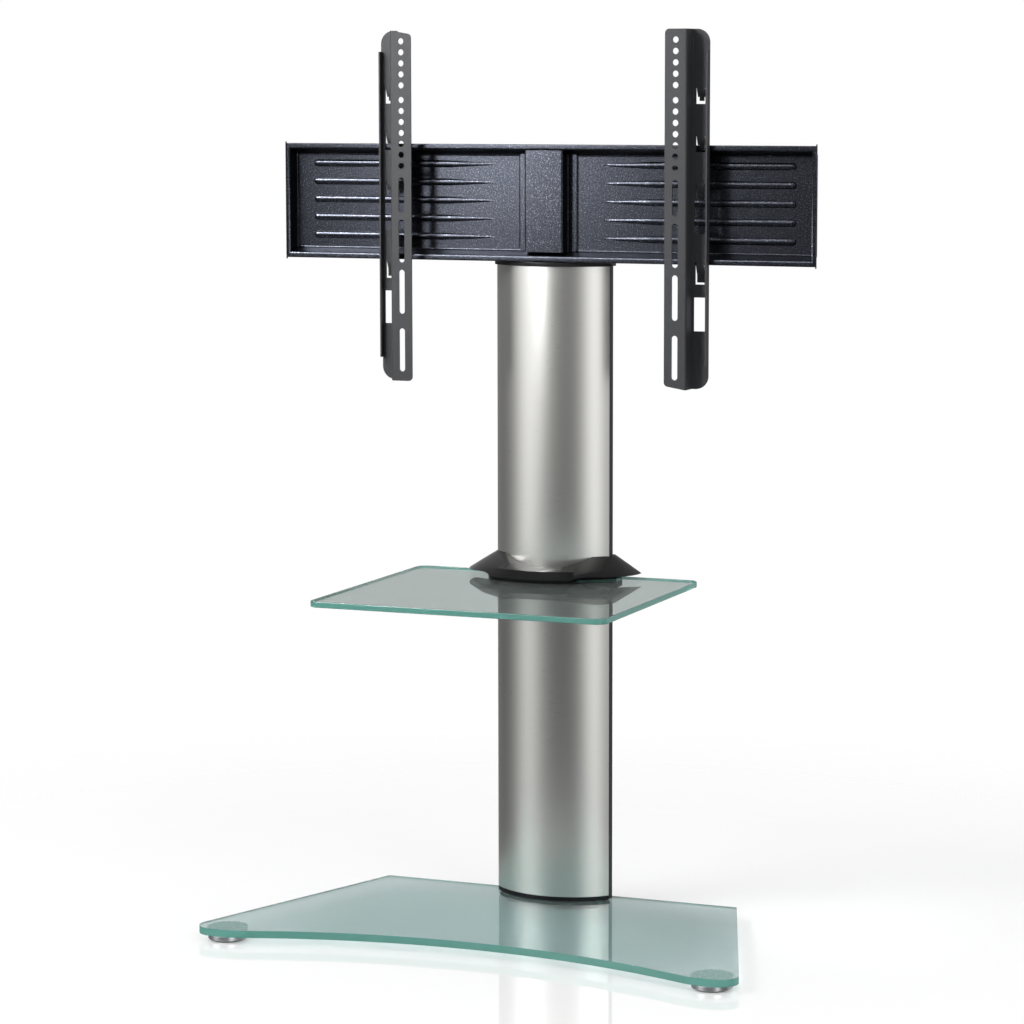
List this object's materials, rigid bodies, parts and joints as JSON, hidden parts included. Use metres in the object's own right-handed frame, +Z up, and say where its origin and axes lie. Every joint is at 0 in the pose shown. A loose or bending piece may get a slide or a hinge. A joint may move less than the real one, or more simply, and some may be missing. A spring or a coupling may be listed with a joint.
{
  "type": "tv stand with mount",
  "caption": "Floor stand for a screen: flared glass base, half-round column, sliding glass shelf and a wide pressed plate with two hook-on arms.",
  "frame": {"origin": "on the floor under the middle of the base glass", "axes": "+X to the right as seen by someone facing the screen, -Y to the front, +Z up"},
  "size_m": [0.779, 0.38, 1.2265],
  "materials": {
    "base_glass": "polished, green edge",
    "front_foot_discs": "satin",
    "front_foot_bodies": "polished",
    "front_foot_pads": "matte",
    "rear_glides": "matte",
    "clamp_plate": "satin black",
    "lower_gasket": "matte",
    "upper_gasket": "matte",
    "post_base_plate": "satin black",
    "base_bolts": "zinc plated",
    "base_nuts": "zinc plated",
    "inner_post": "satin black",
    "post_plug": "matte",
    "column_foot_ring": "gloss black",
    "column_shell": "brushed, clear anodised",
    "column_back_cover": "matte black",
    "column_top_cap": "satin black",
    "wall_plate": "hammered blue-grey",
    "left_end_strip": "hammered black",
    "right_end_strip": "hammered black",
    "centre_bracket": "hammered blue-grey",
    "bracket_welds": "hammered blue-grey",
    "head_bolts": "zinc plated",
    "head_nuts": "zinc plated",
    "left_arm": "dark grey powder coat",
    "right_arm": "dark grey powder coat",
    "shelf_glass": "polished, green edge",
    "collar_upper": "gloss black",
    "collar_lower": "gloss black",
    "collar_gaskets": "matte",
    "collar_screws": "zinc plated"
  },
  "bodies": {
    "stand": {"base_glass": "base_glass", "front_foot_discs": "front_foot_discs", "front_foot_bodies": "front_foot_bodies", "front_foot_pads": "front_foot_pads", "rear_glides": "rear_glides", "clamp_plate": "clamp_plate", "lower_gasket": "lower_gasket", "upper_gasket": "upper_gasket", "post_base_plate": "post_base_plate", "base_bolts": "base_bolts", "base_nuts": "base_nuts", "inner_post": "inner_post", "post_plug": "post_plug", "column_foot_ring": "column_foot_ring", "column_shell": "column_shell", "column_back_cover": "column_back_cover", "column_top_cap": "column_top_cap", "wall_plate": "wall_plate", "left_end_strip": "left_end_strip", "right_end_strip": "right_end_strip", "centre_bracket": "centre_bracket", "bracket_welds": "bracket_welds", "head_bolts": "head_bolts", "head_nuts": "head_nuts"},
    "arm_left": {"left_arm": "left_arm"},
    "arm_right": {"right_arm": "right_arm"},
    "shelf": {"shelf_glass": "shelf_glass", "collar_upper": "collar_upper", "collar_lower": "collar_lower", "collar_gaskets": "collar_gaskets", "collar_screws": "collar_screws"}
  },
  "joints": [
    {"name": "left_arm_slide", "type": "slide", "parent": "stand", "child": "arm_left", "axis": [1, 0, 0], "range_m": [-0.145, 0.15]},
    {"name": "right_arm_slide", "type": "slide", "parent": "stand", "child": "arm_right", "axis": [1, 0, 0], "range_m": [-0.15, 0.145]},
    {"name": "shelf_height", "type": "slide", "parent": "stand", "child": "shelf", "axis": [0, 0, 1], "range_m": [-0.38, 0.21]}
  ]
}
